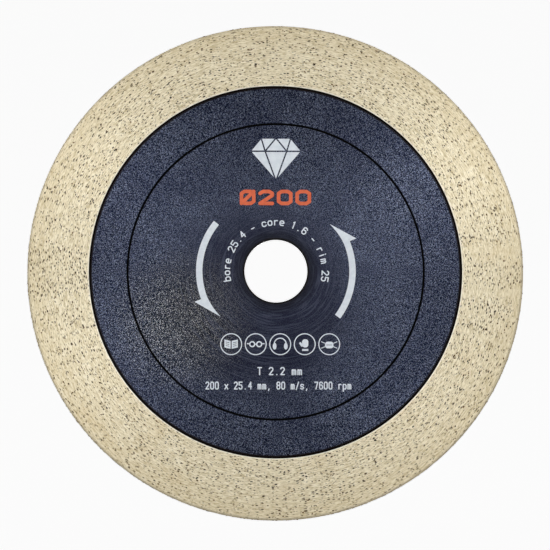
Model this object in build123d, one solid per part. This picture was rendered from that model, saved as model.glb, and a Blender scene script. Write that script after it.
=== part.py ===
"""Continuous-rim diamond cutting blade, 200 mm across, for a 25.4 mm arbor.

The blade stands upright and its axis runs along Y. The printed front faces -Y.
The origin is the centre of the bore at mid-thickness. Lengths are in millimetres.
"""
import math
import os
import random
from itertools import product

from build123d import *

# Blade
BLADE_RADIUS = 100.0
BLADE_THICKNESS = 2.2
BORE_RADIUS = 12.7

# Steel core
CORE_THICKNESS = 1.6
CORE_RADIUS = 76.2
BORE_CHAMFER = 0.25
KEY_COUNT = 48
KEY_WIDTH = 3.0
KEY_HEIGHT = 1.2

# Turned grooves in both faces of the core: (middle radius, width at the face)
MARKING_GROOVE = (59.7, 0.80)
RIM_GROOVE = (74.85, 0.70)
GROOVE_DEPTH = 0.30
GROOVE_WALL = 0.12

# Sprayed coat and printed ink; a fine scored ring bounds the landing round the bore, which carries no ink
COAT_THICKNESS = 0.06
LANDING_RADIUS = 17.8
SCORE_WIDTH = 0.16
SCORE_DEPTH = 0.03
INK_THICKNESS = 0.025

# Sintered bond of the rim
RIM_INNER_RADIUS = 75.2
RIM_INNER_CHAMFER = 0.22
RIM_CORNER_WIDTH = 0.70
RIM_CORNER_HEIGHT = 0.35

# Diamond crystals that stand a little out of the bond and are dressed flat
CRYSTAL_SIZE = 0.52
CRYSTAL_CORNER_CUT = 0.62
CRYSTAL_STAND_OUT = 0.04
CRYSTALS_PER_FACE = 96
CRYSTALS_ON_EDGE = 40
CRYSTAL_INNER_RADIUS = 78.4
CRYSTAL_OUTER_RADIUS = 98.4
GOLDEN_ANGLE = 180.0 * (3.0 - math.sqrt(5.0))

# Rotation arrows
ARROW_INNER_RADIUS = 29.6
ARROW_OUTER_RADIUS = 32.2
ARROW_TIP_RADIUS = 28.9
ARROW_BARB_RADIUS = 35.1
LEFT_ARROW_ANGLES = (141.0, 200.8, 219.7)
RIGHT_ARROW_ANGLES = (-36.5, 22.2, 41.3)

# Emblem: a plain cut gem
GEM_HALF_WIDTH = 10.4
GEM_TABLE_HALF_WIDTH = 6.0
GEM_TOP = 54.0
GEM_GIRDLE = 48.6
GEM_POINT = 36.6
GEM_LINE = 0.6

# Ring icons
ICON_HEIGHT = -29.5
ICON_PITCH = 9.86
ICON_FIRST_X = -18.0
ICON_RADIUS = 4.4
ICON_LINE = 0.40

# Plain pen lettering on a grid 4 wide and 6 high: each letter is one or more pen paths
PEN_PATHS = {
    "0": [[(4, 1), (4, 5), (3, 6), (1, 6), (0, 5), (0, 1), (1, 0), (3, 0), (4, 1)]],
    "1": [[(1, 5), (2, 6), (2, 0)]],
    "2": [[(0, 5), (1, 6), (3, 6), (4, 5), (4, 4), (0, 0), (4, 0)]],
    "4": [[(3, 0), (3, 6), (0, 2), (4, 2)]],
    "5": [[(4, 6), (0, 6), (0, 3.5), (3, 3.5), (4, 2.5), (4, 1), (3, 0), (1, 0), (0, 1)]],
    "6": [[(4, 5), (3, 6), (1, 6), (0, 5), (0, 1), (1, 0), (3, 0), (4, 1), (4, 2.5), (3, 3.5), (0, 3.5)]],
    "7": [[(0, 6), (4, 6), (1.5, 0)]],
    "8": [[(1, 3.2), (0, 4), (0, 5), (1, 6), (3, 6), (4, 5), (4, 4), (3, 3.2)],
          [(1, 3.2), (3, 3.2), (4, 2.2), (4, 1), (3, 0), (1, 0), (0, 1), (0, 2.2), (1, 3.2)]],
    "T": [[(0, 6), (4, 6)], [(2, 6), (2, 0)]],
    "b": [[(0, 6), (0, 0), (3, 0), (4, 1), (4, 3), (3, 4), (0, 4)]],
    "c": [[(4, 3.2), (3, 4), (1, 4), (0, 3), (0, 1), (1, 0), (3, 0), (4, 0.8)]],
    "e": [[(0, 2), (4, 2), (4, 3), (3, 4), (1, 4), (0, 3), (0, 1), (1, 0), (3.6, 0)]],
    "i": [[(2, 0), (2, 4)], [(2, 5.6), (2, 5.8)]],
    "m": [[(0, 0), (0, 4), (1.3, 4), (2, 3.3), (2, 0)], [(2, 3.3), (2.7, 4), (3.3, 4), (4, 3.3), (4, 0)]],
    "o": [[(4, 1), (4, 3), (3, 4), (1, 4), (0, 3), (0, 1), (1, 0), (3, 0), (4, 1)]],
    "p": [[(0, -2), (0, 4), (3, 4), (4, 3), (4, 1), (3, 0), (0, 0)]],
    "r": [[(0.6, 0), (0.6, 4)], [(0.6, 3), (1.6, 4), (3.4, 4)]],
    "s": [[(4, 3.4), (3, 4), (1, 4), (0, 3), (1, 2), (3, 2), (4, 1), (3, 0), (1, 0), (0, 0.6)]],
    "x": [[(0, 0), (4, 4)], [(0, 4), (4, 0)]],
    "Ø": [[(4, 1), (4, 5), (3, 6), (1, 6), (0, 5), (0, 1), (1, 0), (3, 0), (4, 1)], [(0, 0), (4, 6)]],
    "/": [[(0.4, -0.6), (3.6, 6)]],
    "-": [[(0.6, 2.2), (3.4, 2.2)]],
    ".": [[(1.9, 0), (2.1, 0)]],
    ",": [[(2, 0), (1.4, -1.2)]],
}

CORE_FACE = CORE_THICKNESS / 2
COAT_FACE = CORE_FACE + COAT_THICKNESS
RIM_FACE = BLADE_THICKNESS / 2
BOND_FACE = RIM_FACE - CRYSTAL_STAND_OUT
BOND_RADIUS = BLADE_RADIUS - CRYSTAL_STAND_OUT


def polar(radius, angle):
    """Point at a radius and an angle in degrees from +X."""
    turn = math.radians(angle)
    return (radius * math.cos(turn), radius * math.sin(turn))


def spin(points):
    """Turn a closed outline of (radius, y) points about the blade's axis."""
    return revolve(make_face(Polyline(points, close=True)), Axis.Y)


def mirrored(points):
    """The same points on the opposite face, in reverse order."""
    return [(radius, -y) for radius, y in reversed(points)]


def grooved_line(inner_radius, outer_radius, height):
    """Points across one face, from the bore outwards, dipping into both grooves."""
    points = [(inner_radius, height)]
    for middle, width in (MARKING_GROOVE, RIM_GROOVE):
        half_top = width / 2
        half_floor = half_top - GROOVE_WALL
        points.append((middle - half_top, height))
        points.append((middle - half_floor, height - GROOVE_DEPTH))
        points.append((middle + half_floor, height - GROOVE_DEPTH))
        points.append((middle + half_top, height))
    if outer_radius > points[-1][0]:
        points.append((outer_radius, height))
    return points


# Core, rim and coats

def core_keys():
    """Square teeth round the core's edge that the bond grips."""
    middle = CORE_RADIUS + KEY_HEIGHT / 2 - 0.25
    teeth = Sketch() + [
        spot * Rectangle(KEY_HEIGHT + 0.5, KEY_WIDTH)
        for spot in PolarLocations(middle, KEY_COUNT)
    ]
    return extrude(Plane.XZ * teeth, CORE_FACE, both=True)


def steel_core():
    """Steel blank with a chamfered bore, two grooves on each face and a keyed edge."""
    face = grooved_line(BORE_RADIUS + BORE_CHAMFER, CORE_RADIUS, CORE_FACE)
    bore_edge = (BORE_RADIUS, CORE_FACE - BORE_CHAMFER)
    half = [bore_edge] + face
    return spin(half + mirrored(half)) + core_keys()


def coat(side):
    """Sprayed coat on one face of the core, lining the grooves; side is +1 or -1."""
    under = grooved_line(BORE_RADIUS + BORE_CHAMFER, RIM_INNER_RADIUS, CORE_FACE)
    over = [(radius, y + COAT_THICKNESS) for radius, y in under]
    over[1:1] = [
        (LANDING_RADIUS, COAT_FACE),
        (LANDING_RADIUS + SCORE_WIDTH / 2, COAT_FACE - SCORE_DEPTH),
        (LANDING_RADIUS + SCORE_WIDTH, COAT_FACE),
    ]
    outline = under + over[::-1]
    return spin([(radius, side * y) for radius, y in outline])


def bond_ring():
    """Sintered bronze ring with broken corners, pressed over the core's edge."""
    half = [
        (RIM_INNER_RADIUS, BOND_FACE - RIM_INNER_CHAMFER),
        (RIM_INNER_RADIUS + RIM_INNER_CHAMFER, BOND_FACE),
        (BOND_RADIUS - RIM_CORNER_WIDTH, BOND_FACE),
        (BOND_RADIUS, BOND_FACE - RIM_CORNER_HEIGHT),
    ]
    return spin(half + mirrored(half))


# Diamond crystals

def crystal():
    """One diamond crystal: a cube with its eight corners cut off."""
    body = Box(CRYSTAL_SIZE, CRYSTAL_SIZE, CRYSTAL_SIZE)
    for corner in product((-1, 1), repeat=3):
        outward = Vector(*corner).normalized()
        cut = Plane(origin=outward * CRYSTAL_SIZE * CRYSTAL_CORNER_CUT, z_dir=outward)
        body = split(body, bisect_by=cut, keep=Keep.BOTTOM)
    return body.solid()


def scattered(centres, seed):
    """A copy of the crystal at each centre, each tumbled its own way."""
    tumble = random.Random(seed)
    shape = crystal()
    crystals = []
    for centre in centres:
        turn = [tumble.uniform(0.0, 360.0) for axis in range(3)]
        crystals.append(shape.located(Location(centre, turn)))
    return crystals


def face_crystals(side):
    """Crystals spread evenly over one face of the rim; side is +1 or -1."""
    centres = []
    span = CRYSTAL_OUTER_RADIUS**2 - CRYSTAL_INNER_RADIUS**2
    for index in range(CRYSTALS_PER_FACE):
        share = (index + 0.5) / CRYSTALS_PER_FACE
        radius = math.sqrt(CRYSTAL_INNER_RADIUS**2 + share * span)
        x, z = polar(radius, side * index * GOLDEN_ANGLE)
        centres.append((x, side * (RIM_FACE - 0.4 * CRYSTAL_SIZE), z))
    return scattered(centres, seed=side + 10)


def edge_crystals():
    """Crystals round the cutting edge, stepping from side to side."""
    centres = []
    for index in range(CRYSTALS_ON_EDGE):
        x, z = polar(BLADE_RADIUS - 0.4 * CRYSTAL_SIZE, index * 360.0 / CRYSTALS_ON_EDGE)
        centres.append((x, 0.32 * (index % 3 - 1), z))
    return scattered(centres, seed=5)


def dressed(crystals):
    """Crystals ground level with the blade's full thickness and diameter."""
    envelope = Cylinder(BLADE_RADIUS, BLADE_THICKNESS, rotation=(90, 0, 0))
    return Compound([(envelope & stone).solid() for stone in crystals])


# Printed marks, drawn flat with X to the right and Y up the blade

def printed(sketch):
    """Lay a flat drawing on the front coat as a thin layer of ink."""
    front = Plane(origin=(0, -COAT_FACE, 0), x_dir=(1, 0, 0), z_dir=(0, -1, 0))
    return extrude(front * sketch, INK_THICKNESS)


def stroke_line(start, end, stroke):
    """One straight pen stroke with round ends."""
    length = math.dist(start, end)
    middle = ((start[0] + end[0]) / 2, (start[1] + end[1]) / 2)
    angle = math.degrees(math.atan2(end[1] - start[1], end[0] - start[0]))
    return Pos(*middle) * Rot(0, 0, angle) * SlotCenterToCenter(length, stroke)


def letter(character, width, height, stroke):
    """One letter, centred across its width and standing on the line."""
    strokes = []
    for path in PEN_PATHS[character]:
        points = [((x / 4 - 0.5) * (width - stroke), y / 6 * (height - stroke)) for x, y in path]
        strokes += [stroke_line(start, end, stroke) for start, end in zip(points, points[1:])]
    return Pos(0, stroke / 2) * (Sketch() + strokes)


def straight_line(text, middle, pitch, width, height, stroke):
    """Evenly pitched lettering centred on a point."""
    first = middle[0] - pitch * (len(text) - 1) / 2
    line = Sketch()
    for place, character in enumerate(text):
        if character != " ":
            spot = Pos(first + place * pitch, middle[1] - height / 2)
            line += spot * letter(character, width, height, stroke)
    return line


def curved_line(text, radius, pitch_angle, width, height, stroke):
    """Evenly pitched lettering that runs clockwise over the top of the bore."""
    first = pitch_angle * (len(text) - 1) / 2
    line = Sketch()
    for place, character in enumerate(text):
        if character != " ":
            turn = Rot(0, 0, first - place * pitch_angle)
            line += turn * Pos(0, radius) * letter(character, width, height, stroke)
    return line


def arrow(tail_angle, neck_angle, tip_angle):
    """Curved rotation arrow with a square tail and a hooked point."""
    middle_angle = (tail_angle + neck_angle) / 2
    tail_inner = polar(ARROW_INNER_RADIUS, tail_angle)
    tail_outer = polar(ARROW_OUTER_RADIUS, tail_angle)
    neck_inner = polar(ARROW_INNER_RADIUS, neck_angle)
    neck_outer = polar(ARROW_OUTER_RADIUS, neck_angle)
    barb = polar(ARROW_BARB_RADIUS, neck_angle)
    tip = polar(ARROW_TIP_RADIUS, tip_angle)
    near_tip = polar((ARROW_INNER_RADIUS + ARROW_TIP_RADIUS) / 2, (neck_angle + tip_angle) / 2)
    outline = [
        Line(tail_inner, tail_outer),
        ThreePointArc(tail_outer, polar(ARROW_OUTER_RADIUS, middle_angle), neck_outer),
        Line(neck_outer, barb),
        Line(barb, tip),
        ThreePointArc(tip, near_tip, neck_inner),
        ThreePointArc(neck_inner, polar(ARROW_INNER_RADIUS, middle_angle), tail_inner),
    ]
    return make_face(outline)


def gem_emblem():
    """A cut gem drawn as seven facets with dark lines between them."""
    table = GEM_TABLE_HALF_WIDTH
    waist = GEM_HALF_WIDTH * 0.42
    left, right = (-GEM_HALF_WIDTH, GEM_GIRDLE), (GEM_HALF_WIDTH, GEM_GIRDLE)
    inner_left, inner_right = (-waist, GEM_GIRDLE), (waist, GEM_GIRDLE)
    top_left, top_right = (-table, GEM_TOP), (table, GEM_TOP)
    top, point = (0, GEM_TOP), (0, GEM_POINT)
    facets = [
        (left, inner_left, top_left),
        (top_left, inner_left, top),
        (top, inner_left, inner_right),
        (top, inner_right, top_right),
        (top_right, inner_right, right),
        (left, point, inner_left),
        (inner_left, point, inner_right),
        (inner_right, point, right),
    ]
    shapes = [make_face(Polyline(corners, close=True)) for corners in facets]
    return Sketch() + [offset(shape, -GEM_LINE / 2, kind=Kind.INTERSECTION) for shape in shapes]


def book_icon():
    """Open book: two pages that slope to the spine."""
    page = make_face(Polyline((0.22, -1.9), (2.7, -1.3), (2.7, 1.9), (0.22, 1.3), close=True))
    lines = Sketch() + [Pos(1.45, y) * Rectangle(1.5, 0.22, rotation=13) for y in (-0.7, 0.0, 0.7)]
    page -= lines
    return page + mirror(page, Plane.YZ)


def goggles_icon():
    """Two round lenses with a bridge and side straps."""
    lens = Circle(1.25) - Circle(0.72)
    lenses = Pos(-1.4, 0) * lens + Pos(1.4, 0) * lens
    bridge = Rectangle(0.7, 0.4)
    straps = Pos(-3.1, 0.2) * Rectangle(0.9, 0.45) + Pos(3.1, 0.2) * Rectangle(0.9, 0.45)
    return lenses + bridge + straps


def ear_muffs_icon():
    """Two cups under a curved head band."""
    band = (Circle(2.65) - Circle(2.2)) & Pos(0, 1.5) * Rectangle(6, 3)
    cups = Pos(-2.25, -0.8) * Ellipse(0.75, 1.35) + Pos(2.25, -0.8) * Ellipse(0.75, 1.35)
    return band + cups


def gloves_icon():
    """A mitten with a cuff."""
    palm = Pos(0.2, 0.35) * RectangleRounded(2.5, 3.3, 1.1)
    thumb = Pos(-1.45, -0.1) * Rot(0, 0, 35) * RectangleRounded(0.9, 2.0, 0.44)
    cuff = Pos(0.2, -2.3) * Rectangle(2.5, 0.8)
    return palm + thumb + cuff


def mask_icon():
    """A rounded filter cup with two straps."""
    cup = Pos(0, -0.3) * RectangleRounded(3.4, 2.7, 1.1)
    cup -= Pos(0, -0.3) * Rectangle(2.2, 0.24)
    straps = Sketch() + [
        Pos(side * 2.45, y) * Rectangle(1.7, 0.3, rotation=side * turn)
        for side, (y, turn) in product((-1, 1), ((0.7, 22), (-1.3, -22)))
    ]
    return cup + straps


def ring_icon(place, drawing):
    """A drawing inside a thin ring, at its place in the row of five."""
    ring = Circle(ICON_RADIUS) - Circle(ICON_RADIUS - ICON_LINE)
    return Pos(ICON_FIRST_X + place * ICON_PITCH, ICON_HEIGHT) * (ring + drawing)


def build():
    """Write every piece of the blade as its own STEP file."""
    front_stones = face_crystals(-1)
    back_stones = face_crystals(+1)
    edge_stones = edge_crystals()
    core = steel_core()
    marks = {
        "rotation_arrow_left": arrow(*LEFT_ARROW_ANGLES),
        "rotation_arrow_right": arrow(*RIGHT_ARROW_ANGLES),
        "gem_emblem": gem_emblem(),
        "diameter_numerals": straight_line("Ø200", (-0.2, 29.8), 7.5, 6.4, 6.3, 1.45),
        "bore_ring_lettering": curved_line(
            "bore 25.4 - core 1.6 - rim 25", 18.4, 7.1, 2.0, 3.1, 0.46
        ),
        "book_icon": ring_icon(0, book_icon()),
        "goggles_icon": ring_icon(1, goggles_icon()),
        "ear_muffs_icon": ring_icon(2, ear_muffs_icon()),
        "gloves_icon": ring_icon(3, gloves_icon()),
        "mask_icon": ring_icon(4, mask_icon()),
        "thickness_numerals": straight_line("T 2.2 mm", (1.5, -40.3), 2.3, 1.9, 3.3, 0.50),
        "size_and_speed_line": straight_line(
            "200 x 25.4 mm, 80 m/s, 7600 rpm", (1.0, -46.1), 1.90, 1.62, 3.2, 0.46
        ),
    }
    nodes = {name: printed(drawing) for name, drawing in marks.items()}
    nodes["front_coat"] = coat(-1)
    nodes["back_coat"] = coat(+1)
    nodes["steel_core"] = core
    nodes["diamond_rim"] = bond_ring() - core - front_stones - back_stones - edge_stones
    nodes["crystals_front"] = dressed(front_stones)
    nodes["crystals_back"] = dressed(back_stones)
    nodes["crystals_edge"] = dressed(edge_stones)
    os.makedirs("parts", exist_ok=True)
    for name, shape in nodes.items():
        export_step(shape, f"parts/{name}.step")


build()
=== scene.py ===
"""Looks of a 200 mm continuous-rim diamond blade.

Lengths here are millimetres, and Blender's own are metres, as are the softboxes and the camera.
"""
import math
import random
from itertools import product

import bmesh
import bpy
from mathutils import Euler, Matrix, Vector, noise


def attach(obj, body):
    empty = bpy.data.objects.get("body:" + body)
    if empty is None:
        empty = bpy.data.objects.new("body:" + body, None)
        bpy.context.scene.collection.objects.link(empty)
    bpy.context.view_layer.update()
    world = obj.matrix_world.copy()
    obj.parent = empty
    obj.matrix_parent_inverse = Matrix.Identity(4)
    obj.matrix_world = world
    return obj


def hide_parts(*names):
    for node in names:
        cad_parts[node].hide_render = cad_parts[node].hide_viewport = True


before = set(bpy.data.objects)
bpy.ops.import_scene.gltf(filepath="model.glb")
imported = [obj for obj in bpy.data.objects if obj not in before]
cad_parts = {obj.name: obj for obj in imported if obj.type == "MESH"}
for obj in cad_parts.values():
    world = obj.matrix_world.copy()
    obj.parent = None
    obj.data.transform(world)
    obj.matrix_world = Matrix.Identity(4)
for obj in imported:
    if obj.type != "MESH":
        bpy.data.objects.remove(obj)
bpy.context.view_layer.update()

MM = 0.001

# Sizes shared with the CAD model
BORE_RADIUS = 12.7
BORE_CHAMFER = 0.25
CORE_FACE = 0.8
BOND_FACE = 1.06
RIM_INNER = 75.2
BOND_RADIUS = 99.96
RIM_INNER_CHAMFER = 0.22
RIM_CORNER_WIDTH = 0.70
RIM_CORNER_HEIGHT = 0.35
CORE_RADIUS = 76.2
GROOVES = ((59.7, 0.80), (74.85, 0.70))  # middle radius, width at the face
GROOVE_DEPTH = 0.30
GROOVE_WALL = 0.12

# Finer meshes of the rim and coats
RIM_TURNS = 1080
RIM_SOFTENING = 0.09
RIM_LONGEST_RUN = 1.6
COAT_TURNS = 720
COAT_LONGEST_RUN = 3.0
COAT_GAP = 0.002
COAT_FILM = 0.058
COAT_SHORT_OF_RIM = 0.05

# Loose grains on the rim
GRAIN_SIZE = (0.24, 0.54)
GRAIN_STRETCH = (1.0, 1.7)
GRAINS_PER_FACE = 1100
GRAINS_ON_EDGE = 700
GRAIN_OUTER_RADIUS = 98.9

# Light and camera
WORLD_LIGHT = 0.20
FLOOR_GLOW = 0.76
LAMP_DISTANCE = 1.25
# name, angle round the axis, angle off it, size in metres, watts
SOFTBOXES = (
    ("right_high", 34, 34, (0.35, 0.35), 4.4),
    ("right_low", -45, 24, (0.22, 0.22), 5.8),
    ("left_high", 145, 34, (0.35, 0.35), 4.2),
    ("left_low", 200, 34, (0.30, 0.30), 2.6),
    ("sparkle", 212, 13, (0.20, 0.20), 0.9),
    ("overhead", 90, 50, (1.2, 0.4), 2.0),
)
CAMERA_AIM = (-0.00036, 0.0, -0.00156)
CAMERA_TURN = -1.3
CAMERA_TILT = -4.1
CAMERA_DISTANCE = 0.755
CAMERA_LENS = 122.5


# ---------------------------------------------------------------- node helper

class Shade:
    """Adds nodes to one material and wires them to its shader."""

    def __init__(self, name, **values):
        self.material = bpy.data.materials.new(name)
        self.material.use_nodes = True
        self.tree = self.material.node_tree
        self.shader = self.tree.nodes["Principled BSDF"]
        for socket, value in values.items():
            self.shader.inputs[socket.replace("_", " ")].default_value = value

    def node(self, kind, inputs=(), **settings):
        made = self.tree.nodes.new(kind)
        for key, value in settings.items():
            setattr(made, key, value)
        for socket, value in dict(inputs).items():
            self.feed(value, made.inputs[socket])
        return made

    def feed(self, value, socket):
        if isinstance(value, bpy.types.NodeSocket):
            self.tree.links.new(value, socket)
        else:
            socket.default_value = value

    def calc(self, operation, *values, clamp=False):
        made = self.node("ShaderNodeMath", operation=operation, use_clamp=clamp)
        for place, value in enumerate(values):
            self.feed(value, made.inputs[place])
        return made.outputs[0]

    def mix(self, share, first, second):
        """Blends two colours: the first at 0, the second at 1."""
        made = self.node("ShaderNodeMix", data_type="RGBA")
        self.feed(share, made.inputs["Factor"])
        self.feed(first, made.inputs["A"])
        self.feed(second, made.inputs["B"])
        return made.outputs["Result"]

    def tint(self, colour, mask, share, *display):
        """Lays a display colour over another where the mask is bright, at the given share."""
        return self.mix(self.calc("MULTIPLY", mask, share), colour, linear(*display))

    def place(self):
        """Object coordinates: x, y, z in millimetres."""
        coords = self.node("ShaderNodeTexCoord").outputs["Object"]
        parts = self.node("ShaderNodeSeparateXYZ", {"Vector": coords})
        return [self.calc("MULTIPLY", parts.outputs[i], 1000.0) for i in range(3)]

    def rings(self):
        """Distance from the axis, cosine and sine of the angle round it, and y."""
        x, y, z = self.place()
        square = self.calc("ADD", self.calc("MULTIPLY", x, x), self.calc("MULTIPLY", z, z))
        radius = self.calc("SQRT", square)
        return radius, self.calc("DIVIDE", x, radius), self.calc("DIVIDE", z, radius), y

    def round_vector(self, rings, along, across):
        """A coordinate that repeats seamlessly round the axis: bigger numbers give finer texture."""
        radius, cosine, sine, y = rings
        depth = self.calc("MULTIPLY", self.calc("ADD", radius, y), across)
        return self.node("ShaderNodeCombineXYZ", {
            "X": self.calc("MULTIPLY", cosine, along),
            "Y": self.calc("MULTIPLY", sine, along),
            "Z": depth,
        }).outputs[0]

    def from_spot(self, rings, x, z):
        """Distance in millimetres from a line parallel to the axis."""
        radius, cosine, sine, _ = rings
        across = self.calc("SUBTRACT", self.calc("MULTIPLY", radius, cosine), x)
        up = self.calc("SUBTRACT", self.calc("MULTIPLY", radius, sine), z)
        square = self.calc("ADD", self.calc("MULTIPLY", across, across), self.calc("MULTIPLY", up, up))
        return self.calc("SQRT", square)

    def noise(self, vector, scale=1.0, detail=2.0, rough=0.5):
        return self.node("ShaderNodeTexNoise", {
            "Vector": vector, "Scale": scale, "Detail": detail, "Roughness": rough,
        }).outputs["Fac"]

    def spots(self, vector, share, core, reach):
        """Round spots about scattered points; only the given share of the points have one."""
        cells = self.node("ShaderNodeTexVoronoi", {"Vector": vector, "Scale": 1.0})
        chance = self.node("ShaderNodeSeparateXYZ", {"Vector": cells.outputs["Color"]}).outputs[0]
        picked = self.calc("LESS_THAN", chance, share)
        away = self.span(cells.outputs["Distance"], core, reach)
        return self.calc("MULTIPLY", picked, self.calc("SUBTRACT", 1.0, away))

    def warped(self, vector, scale, amount):
        """The same coordinate pushed about, so that round cells turn ragged."""
        push = self.node("ShaderNodeTexNoise", {"Vector": vector, "Scale": scale, "Detail": 1.0})
        centred = self.node("ShaderNodeVectorMath", {
            0: push.outputs["Color"], 1: (0.5, 0.5, 0.5),
        }, operation="SUBTRACT")
        scaled = self.node("ShaderNodeVectorMath", {
            0: centred.outputs[0], "Scale": amount,
        }, operation="SCALE")
        return self.node("ShaderNodeVectorMath", {
            0: vector, 1: scaled.outputs[0],
        }, operation="ADD").outputs[0]

    def span(self, value, low, high, to_low=0.0, to_high=1.0):
        """Smooth step from one range of values to another."""
        return self.node("ShaderNodeMapRange", {
            "Value": value, "From Min": low, "From Max": high, "To Min": to_low, "To Max": to_high,
        }, interpolation_type="SMOOTHSTEP").outputs[0]

    def bump(self, height, distance_mm):
        return self.node("ShaderNodeBump", {
            "Height": height, "Distance": distance_mm * MM, "Strength": 1.0,
        }).outputs[0]

    def around(self):
        """Makes the brushed highlight follow circles about the axis."""
        tangent = self.node("ShaderNodeTangent", direction_type="RADIAL", axis="Y")
        self.feed(tangent.outputs[0], self.shader.inputs["Tangent"])

    def finish(self, colour, roughness=None, normal=None, metallic=None):
        """Wires what is given to the shader and returns the material."""
        for value, socket in ((colour, "Base Color"), (roughness, "Roughness"),
                              (normal, "Normal"), (metallic, "Metallic")):
            if value is not None:
                self.feed(value, self.shader.inputs[socket])
        return self.material


def linear(red, green, blue):
    """Display colour 0-255 to a linear RGBA value."""
    def one(level):
        level /= 255.0
        return level / 12.92 if level <= 0.04045 else ((level + 0.055) / 1.055) ** 2.4
    return (one(red), one(green), one(blue), 1.0)


# ------------------------------------------------------------------ materials

def bond_material():
    """Pale champagne sintered bronze: streaks and scratches round the axis, grain, pits and warm blotches,
    with a painted highlight along the inner chamfer and painted shade on the inner wall and outer corner.
    """
    s = Shade("sintered_bronze", Anisotropic=0.75, Anisotropic_Rotation=0.25, Specular_IOR_Level=0.3)
    rings = s.rings()
    radius = rings[0]
    streaks = s.noise(s.round_vector(rings, 11.0, 1.8), detail=3.0, rough=0.70)
    scratches = s.noise(s.round_vector(rings, 42.0, 4.0), detail=1.0)
    grain = s.noise(s.round_vector(rings, 100.0, 2.5), detail=2.0, rough=0.7)
    blotch = s.noise(s.round_vector(rings, 4.0, 0.06), detail=2.0)
    patches = s.noise(s.round_vector(rings, 9.0, 0.10), detail=1.0)
    reach = s.span(patches, 0.30, 0.70, 0.27, 0.38)
    ragged = s.warped(s.round_vector(rings, 50.0, 1.40), 3.0, 0.5)
    pits = s.spots(ragged, 0.34, s.calc("MULTIPLY", reach, 0.75), reach)
    small = s.spots(s.warped(s.round_vector(rings, 70.0, 2.5), 3.0, 0.5), 0.30, 0.26, 0.42)

    colour = s.mix(s.span(streaks, 0.38, 0.62), linear(216, 203, 170), linear(231, 220, 190))
    colour = s.tint(colour, s.span(scratches, 0.50, 0.62), 0.60, 249, 241, 219)
    colour = s.tint(colour, s.span(scratches, 0.47, 0.36), 0.55, 176, 158, 118)
    colour = s.tint(colour, s.span(grain, 0.56, 0.70), 0.45, 146, 126, 86)
    colour = s.tint(colour, s.span(blotch, 0.56, 0.78), 0.25, 204, 178, 128)
    colour = s.tint(colour, small, 0.8, 74, 54, 26)
    colour = s.mix(pits, colour, linear(40, 24, 8))
    colour = s.tint(colour, s.span(radius, 86.0, 98.0), 0.22, 196, 176, 132)
    # Painted shade: a darker band on the rounded outer corner.
    outer = s.span(radius, 98.6, 99.5)
    colour = s.tint(colour, outer, 0.35, 150, 140, 120)
    # Painted highlight: a pale line along the rim's inner chamfer.
    inner = s.calc("SUBTRACT", 1.0, s.span(radius, 75.4, 75.9))
    colour = s.tint(colour, inner, 0.75, 252, 247, 232)
    # Painted shade: near-black on the rim's inner wall, in the step down to the core.
    rim_inner_wall_shade = s.calc("SUBTRACT", 1.0, s.span(radius, 75.22, 75.30))
    colour = s.mix(rim_inner_wall_shade, colour, linear(20, 16, 14))

    height = s.calc("ADD", s.calc("MULTIPLY", streaks, 0.6), s.calc("MULTIPLY", scratches, 0.5))
    height = s.calc("ADD", height, s.calc("MULTIPLY", grain, -0.7))
    height = s.calc("SUBTRACT", height, s.calc("MULTIPLY", pits, 1.8))
    height = s.calc("SUBTRACT", height, small)
    s.around()
    satin = s.span(streaks, 0.3, 0.7, 0.44, 0.56)
    roughness = s.calc("ADD", satin, s.calc("MULTIPLY", pits, 0.25), clamp=True)
    return s.finish(colour, roughness, s.bump(height, 0.04), s.span(pits, 0.0, 1.0, 0.36, 0.05))


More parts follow.
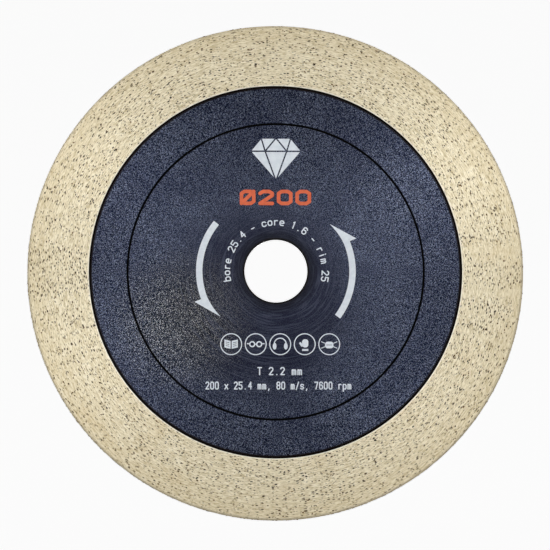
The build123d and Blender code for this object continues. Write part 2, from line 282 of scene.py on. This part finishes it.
def coat_material(name):
    """Navy-charcoal coat: salt-and-pepper grain, painted glints and painted shade in the grain low on the
    left, turned rings and a patch of painted shade by the bore, painted shade in the grooves and along the
    step to the rim.
    """
    s = Shade(name, Specular_IOR_Level=0.2, Anisotropic=0.75, Anisotropic_Rotation=0.25)
    rings = s.rings()
    radius = rings[0]
    grain = s.noise(s.round_vector(rings, 105.0, 2.0), detail=2.0, rough=0.8)
    pepper = s.noise(s.round_vector(rings, 190.0, 3.1), detail=1.0)
    cloud = s.noise(s.round_vector(rings, 3.0, 0.05), detail=2.0)
    drag = s.noise(s.round_vector(rings, 2.2, 2.0), detail=1.0)
    turned_zone_and_shade = s.calc("SUBTRACT", 1.0, s.span(s.from_spot(rings, -6.0, -12.0), 24.0, 48.0))
    sparkle_zone = s.calc("SUBTRACT", 1.0, s.span(s.from_spot(rings, -38.0, -20.0), 6.0, 34.0))

    colour = s.mix(s.span(grain, 0.45, 0.60), linear(4, 8, 34), linear(82, 90, 114))
    colour = s.tint(colour, s.span(pepper, 0.56, 0.64), 0.56, 152, 160, 176)
    colour = s.tint(colour, s.span(pepper, 0.49, 0.40), 0.68, 2, 4, 20)
    colour = s.tint(colour, s.span(cloud, 0.35, 0.7), 0.30, 14, 18, 44)
    # Painted glints and painted shade in the grain, low on the left where the lamps catch the coat.
    painted_glints = s.calc("MULTIPLY", s.span(pepper, 0.60, 0.68), sparkle_zone)
    painted_grain_shade = s.calc("MULTIPLY", s.span(pepper, 0.57, 0.48), sparkle_zone)
    # Painted shade: a darker patch round the bore, set off the axis towards the lower left; the same zone
    # also carries the turned rings.
    colour = s.tint(colour, turned_zone_and_shade, 0.80, 7, 10, 34)
    colour = s.tint(colour, painted_glints, 0.80, 214, 214, 210)
    colour = s.tint(colour, painted_grain_shade, 0.92, 1, 1, 5)
    lines = s.calc("MULTIPLY", s.span(drag, 0.50, 0.62), turned_zone_and_shade)
    colour = s.tint(colour, lines, 0.40, 70, 76, 94)
    # Darker towards the bore.
    darker_by_bore = s.calc("SUBTRACT", 1.0, s.span(radius, 13.4, 19.0))
    colour = s.tint(colour, darker_by_bore, 0.70, 6, 7, 18)
    wet = s.span(grain, 0.3, 0.7, 0.44, 0.30)
    metal = s.calc("SUBTRACT", 0.78, s.calc("MULTIPLY", turned_zone_and_shade, 0.33))
    for middle, width in GROOVES:
        away = s.calc("ABSOLUTE", s.calc("SUBTRACT", radius, middle))
        groove_shade = s.calc("SUBTRACT", 1.0, s.span(away, width * 0.50, width * 0.64))
        # Painted shade: near-black inside both grooves.
        colour = s.mix(groove_shade, colour, linear(5, 4, 5))
        wet = s.calc("ADD", wet, s.calc("MULTIPLY", groove_shade, 0.6), clamp=True)
    mouth = s.calc("SUBTRACT", 1.0, s.span(radius, 13.3, 13.6))
    colour = s.mix(mouth, colour, linear(5, 4, 5))
    # Painted shade: a dark band along the coat's edge at the step up to the rim.
    rim_step_shade = s.span(s.calc("ADD", radius, s.calc("MULTIPLY", grain, 0.5)), 74.05, 74.50)
    colour = s.tint(colour, rim_step_shade, 0.90, 22, 15, 11)

    ridges = s.noise(s.round_vector(rings, 34.0, 1.7), detail=2.0, rough=0.6)
    height = s.calc("ADD", s.calc("MULTIPLY", ridges, 0.9), s.calc("MULTIPLY", pepper, 0.40))
    height = s.calc("ADD", height, s.calc("MULTIPLY", s.calc("MULTIPLY", drag, turned_zone_and_shade), 2.0))
    s.around()
    return s.finish(colour, wet, s.bump(height, 0.14), metal)


def steel_material():
    """Ground steel, bare in the bore and near-black at its mouths."""
    s = Shade("core_steel", Metallic=0.9, Anisotropic=0.4, Anisotropic_Rotation=0.25)
    rings = s.rings()
    lines = s.noise(s.round_vector(rings, 60.0, 5.0), detail=3.0)
    stain = s.noise(s.round_vector(rings, 14.0, 0.6), detail=2.0)
    colour = s.mix(s.span(lines, 0.3, 0.7), linear(96, 96, 100), linear(150, 150, 152))
    colour = s.tint(colour, s.span(stain, 0.5, 0.75), 0.5, 92, 74, 60)
    mouth = s.span(s.calc("ABSOLUTE", rings[3]), 0.50, 0.60)
    colour = s.mix(mouth, colour, linear(10, 10, 12))
    s.around()
    return s.finish(colour, s.span(lines, 0.3, 0.7, 0.30, 0.46), s.bump(lines, 0.02))


def ink_material(name, pale, deep):
    """Screen-printed ink: slightly uneven film over the coat's grain, thin at its edges."""
    s = Shade(name, Metallic=0.0, Specular_IOR_Level=0.4)
    rings = s.rings()
    grain = s.noise(s.round_vector(rings, 95.0, 1.9), detail=2.0, rough=0.65)
    film = s.noise(s.round_vector(rings, 20.0, 0.5), detail=2.0)
    colour = s.mix(s.span(film, 0.3, 0.7), pale, deep)
    colour = s.tint(colour, s.span(grain, 0.60, 0.76), 0.35, 120, 124, 134)
    return s.finish(colour, s.span(grain, 0.3, 0.7, 0.46, 0.60), s.bump(grain, 0.05))


def crystal_material():
    """Brown synthetic diamond, each stone its own shade."""
    s = Shade("diamond_grit", Metallic=0.0, Specular_IOR_Level=0.2)
    own = s.node("ShaderNodeNewGeometry").outputs["Random Per Island"]
    x, y, z = s.place()
    cloudy = s.noise(s.node("ShaderNodeCombineXYZ", {"X": x, "Y": y, "Z": z}).outputs[0], scale=5.0)
    colour = s.mix(own, linear(40, 24, 6), linear(104, 72, 26))
    colour = s.tint(colour, s.span(cloudy, 0.45, 0.7), 0.4, 34, 22, 10)
    return s.finish(colour, s.span(cloudy, 0.3, 0.7, 0.42, 0.60))


# --------------------------------------------------------------------- meshes

def new_piece(name, points, faces, material, smooth=True):
    """A mesh object from millimetre points, riding on the blade."""
    mesh = bpy.data.meshes.new(name)
    mesh.from_pydata([Vector(p) * MM for p in points], [], faces)
    mesh.validate()
    mesh.update()
    mesh.materials.append(material)
    for face in mesh.polygons:
        face.use_smooth = smooth
    piece = bpy.data.objects.new(name, mesh)
    bpy.context.scene.collection.objects.link(piece)
    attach(piece, "root")
    return piece


def softened(outline, amount, steps=3):
    """A closed outline with each corner rounded by a short arc."""
    rounded = []
    count = len(outline)
    for index, corner in enumerate(outline):
        here = Vector(corner)
        before = Vector(outline[index - 1]) - here
        after = Vector(outline[(index + 1) % count]) - here
        reach = min(amount, before.length * 0.4, after.length * 0.4)
        start = here + before.normalized() * reach
        end = here + after.normalized() * reach
        for step in range(steps + 1):
            t = step / steps
            rounded.append(start * (1 - t) ** 2 + here * (2 * t * (1 - t)) + end * t * t)
    return rounded


def lathe(name, outline, turns, material, wander=None):
    """Turns a closed (radius, y) outline about the Y axis; wander gives a point's shift in radius."""
    points, faces = [], []
    rows = len(outline)
    for turn in range(turns):
        angle = 2 * math.pi * turn / turns
        for radius, y in outline:
            r = radius + (wander(radius, y, angle) if wander else 0.0)
            points.append((r * math.cos(angle), y, r * math.sin(angle)))
    for turn in range(turns):
        here, ahead = turn * rows, (turn + 1) % turns * rows
        for row in range(rows):
            next_row = (row + 1) % rows
            faces.append((here + row, here + next_row, ahead + next_row, ahead + row))
    piece = new_piece(name, points, faces, material)
    piece.data.set_sharp_from_angle(angle=math.radians(50))
    return piece


def grooved(inner, outer, height):
    """Points across a face of the core, dipping into both grooves."""
    line = [(inner, height)]
    for middle, width in GROOVES:
        half = width / 2
        floor = half - GROOVE_WALL
        line += [(middle - half, height), (middle - floor, height - GROOVE_DEPTH),
                 (middle + floor, height - GROOVE_DEPTH), (middle + half, height)]
    if outer > line[-1][0]:
        line.append((outer, height))
    return line


def stepped(line, longest):
    """Adds points so that no run is longer than a limit."""
    fine = []
    for start, end in zip(line, line[1:]):
        count = max(1, math.ceil(math.dist(start, end) / longest))
        fine += [(start[0] + (end[0] - start[0]) * i / count, start[1] + (end[1] - start[1]) * i / count)
                 for i in range(count)]
    return fine + [line[-1]]


def ragged_edge(radius, y, angle):
    """Shift in radius: small waves where the rim meets the core and at its outer corner."""
    spot = Vector((math.cos(angle) * 40.0, math.sin(angle) * 40.0, y))
    wave = noise.noise(spot) * 0.6 + noise.noise(spot * 3.1) * 0.4
    if radius < 75.9:
        return max(-0.05, wave * 0.16)
    if radius > 99.0:
        return min(0.0, wave * 0.07 - 0.02)
    return 0.0


def build_rim(material):
    """The sintered ring, with broken corners."""
    half = [(RIM_INNER, BOND_FACE - RIM_INNER_CHAMFER), (RIM_INNER + RIM_INNER_CHAMFER, BOND_FACE),
            (BOND_RADIUS - RIM_CORNER_WIDTH, BOND_FACE), (BOND_RADIUS, BOND_FACE - RIM_CORNER_HEIGHT)]
    back = [(r, -y) for r, y in reversed(half)]
    outline = stepped([tuple(p) for p in softened(half + back, RIM_SOFTENING)], RIM_LONGEST_RUN)
    piece = lathe("sintered_rim", outline, RIM_TURNS, material, ragged_edge)
    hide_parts("diamond_rim")


def build_coat(name, side, material, node):
    """Sprayed coat on one face, lining the grooves."""
    under = grooved(BORE_RADIUS + BORE_CHAMFER, RIM_INNER - COAT_SHORT_OF_RIM, CORE_FACE + COAT_GAP)
    over = [(r, y + COAT_FILM) for r, y in under]
    outline = stepped(over + under[::-1], COAT_LONGEST_RUN)
    piece = lathe(name, [(r, side * y) for r, y in outline], COAT_TURNS, material)
    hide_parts(node)


def stone_shape():
    """Corners and faces of a cube with its corners cut off."""
    corners = []
    for axis in range(3):
        for first, second in product((-1, 1), repeat=2):
            for sign in (-1, 1):
                point = [0.0, 0.0, 0.0]
                point[axis] = sign * 0.15
                point[(axis + 1) % 3] = first * 0.5
                point[(axis + 2) % 3] = second * 0.5
                corners.append(Vector(point))
    shape = bmesh.new()
    for corner in corners:
        shape.verts.new(corner)
    bmesh.ops.convex_hull(shape, input=shape.verts)
    bmesh.ops.dissolve_limit(shape, angle_limit=0.02, verts=shape.verts, edges=shape.edges)
    shape.verts.ensure_lookup_table()
    shape.verts.index_update()
    points = [v.co.copy() for v in shape.verts]
    faces = [[v.index for v in f.verts] for f in shape.faces]
    shape.free()
    return points, faces


def grit(name, places, material, seed):
    """Many small stones in one mesh; a place is a centre, the way out and the way round the axis."""
    shuffle = random.Random(seed)
    shape, shape_faces = stone_shape()
    points, faces = [], []
    for centre, outward, along in places:
        size = shuffle.uniform(*GRAIN_SIZE)
        tumble = Euler([shuffle.uniform(0, 6.28) for _ in range(3)]).to_matrix()
        across = outward.cross(along)
        stretched = along * shuffle.uniform(*GRAIN_STRETCH)
        stone_axes = Matrix((stretched, outward * 0.6, across * 0.85)).transposed()
        base = len(points)
        for corner in shape:
            points.append(centre + stone_axes @ (tumble @ (corner * size)))
        faces += [[base + i for i in face] for face in shape_faces]
    new_piece(name, points, faces, material, smooth=False)


def face_places(side, count, seed):
    """Evenly random places on one face of the rim, a little denser outwards."""
    shuffle = random.Random(seed)
    places = []
    for _ in range(count):
        share = shuffle.random() ** 0.9
        radius = math.sqrt(CORE_RADIUS ** 2 + share * (GRAIN_OUTER_RADIUS ** 2 - CORE_RADIUS ** 2))
        angle = shuffle.uniform(0, 2 * math.pi)
        sunk = shuffle.uniform(0.02, 0.10)
        centre = Vector((radius * math.cos(angle), side * (BOND_FACE - sunk), radius * math.sin(angle)))
        places.append((centre, Vector((0, side, 0)), Vector((-math.sin(angle), 0, math.cos(angle)))))
    return places


def edge_places(count, seed):
    """Random places round the cutting edge."""
    shuffle = random.Random(seed)
    places = []
    for _ in range(count):
        angle = shuffle.uniform(0, 2 * math.pi)
        outward = Vector((math.cos(angle), 0, math.sin(angle)))
        sunk = shuffle.uniform(0.03, 0.12)
        centre = outward * (BOND_RADIUS - sunk) + Vector((0, shuffle.uniform(-0.62, 0.62), 0))
        places.append((centre, outward, Vector((-math.sin(angle), 0, math.cos(angle)))))
    return places


# ----------------------------------------------------------------- the object

bond = bond_material()
steel = steel_material()
stone = crystal_material()
white_ink = ink_material("white_ink", linear(214, 220, 226), linear(202, 209, 217))
orange_ink = ink_material("orange_ink", linear(214, 100, 58), linear(200, 88, 48))

build_rim(bond)
build_coat("coat_front", -1, coat_material("dark_coat_front"), "front_coat")
build_coat("coat_back", 1, coat_material("dark_coat_back"), "back_coat")
grit("grit_field_front", face_places(-1, GRAINS_PER_FACE, 21), stone, 31)
grit("grit_field_back", face_places(1, GRAINS_PER_FACE, 22), stone, 32)
grit("grit_field_edge", edge_places(GRAINS_ON_EDGE, 23), stone, 33)

for name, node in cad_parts.items():
    if name == "steel_core":
        look = steel
    elif name.startswith("crystals"):
        look = stone
    elif name == "diameter_numerals":
        look = orange_ink
    else:
        look = white_ink
    node.data.materials.clear()
    node.data.materials.append(look)


# ------------------------------------------------------ floor, light, camera

def build_floor():
    """A broad pale floor that curves up all round like a shallow studio bowl; only the camera sees it."""
    rings, turns = 48, 96
    points, faces = [(0, 0, -300)], []
    for ring in range(1, rings + 1):
        radius = 9000 * (ring / rings) ** 1.5
        rise = max(0.0, radius - 2500) ** 2 / 9000
        for turn in range(turns):
            angle = 2 * math.pi * turn / turns
            points.append((radius * math.cos(angle), radius * math.sin(angle), -300 + rise))
    for turn in range(turns):
        faces.append((0, 1 + turn, 1 + (turn + 1) % turns))
    for ring in range(rings - 1):
        for turn in range(turns):
            a, b = 1 + ring * turns + turn, 1 + ring * turns + (turn + 1) % turns
            faces.append((a, a + turns, b + turns, b))
    s = Shade("pale_floor", Roughness=0.9, Specular_IOR_Level=0.1)
    x, y, z = s.place()
    cloud = s.noise(s.node("ShaderNodeCombineXYZ", {"X": x, "Y": y, "Z": z}).outputs[0], scale=0.01)
    s.finish(s.mix(cloud, linear(248, 248, 248), linear(250, 250, 250)))
    s.shader.inputs["Emission Color"].default_value = (1.0, 1.0, 1.0, 1.0)
    s.shader.inputs["Emission Strength"].default_value = FLOOR_GLOW
    mesh = bpy.data.meshes.new("pale_floor")
    mesh.from_pydata([Vector(p) * MM for p in points], [], faces)
    mesh.update()
    mesh.materials.append(s.material)
    for face in mesh.polygons:
        face.use_smooth = True
    floor = bpy.data.objects.new("pale_floor", mesh)
    bpy.context.scene.collection.objects.link(floor)
    floor.visible_diffuse = False
    floor.visible_glossy = False


def softbox(name, place, size, watts):
    """A rectangular area light aimed at the blade."""
    lamp = bpy.data.lights.new(name, "AREA")
    lamp.shape = "RECTANGLE"
    lamp.size, lamp.size_y = size
    lamp.energy = watts
    box = bpy.data.objects.new(name, lamp)
    box.location = place
    box.rotation_euler = (-Vector(place)).to_track_quat("-Z", "Y").to_euler()
    box.visible_camera = False
    bpy.context.scene.collection.objects.link(box)


def around_axis(clock, off_axis, distance, side):
    """A place at an angle round the blade's axis and an angle off it, on the front (-1) or back (+1)."""
    clock, off_axis = math.radians(clock), math.radians(off_axis)
    reach = distance * math.sin(off_axis)
    return (reach * math.cos(clock), side * distance * math.cos(off_axis), reach * math.sin(clock))


build_floor()
for side, label in ((-1, "front"), (1, "back")):
    for spot, clock, off_axis, size, watts in SOFTBOXES:
        place = around_axis(clock, off_axis, LAMP_DISTANCE, side)
        softbox("softbox_" + spot + "_" + label, place, size, watts)

world = bpy.data.worlds.new("studio")
bpy.context.scene.world = world
world.use_nodes = True
sky = world.node_tree.nodes["Background"]
sky.inputs["Color"].default_value = (1.0, 1.0, 1.0, 1.0)
sky.inputs["Strength"].default_value = WORLD_LIGHT

lens = bpy.data.cameras.new("camera")
lens.lens = CAMERA_LENS
lens.clip_start, lens.clip_end = 0.01, 100.0
camera = bpy.data.objects.new("camera", lens)
aim = Vector(CAMERA_AIM)
turn, tilt = math.radians(CAMERA_TURN), math.radians(CAMERA_TILT)
away = Vector((math.sin(turn) * math.cos(tilt), -math.cos(turn) * math.cos(tilt), math.sin(tilt)))
camera.location = aim + away * CAMERA_DISTANCE
camera.rotation_euler = (aim - camera.location).to_track_quat("-Z", "Y").to_euler()
bpy.context.scene.collection.objects.link(camera)
bpy.context.scene.camera = camera
bpy.context.scene.view_settings.view_transform = "Standard"
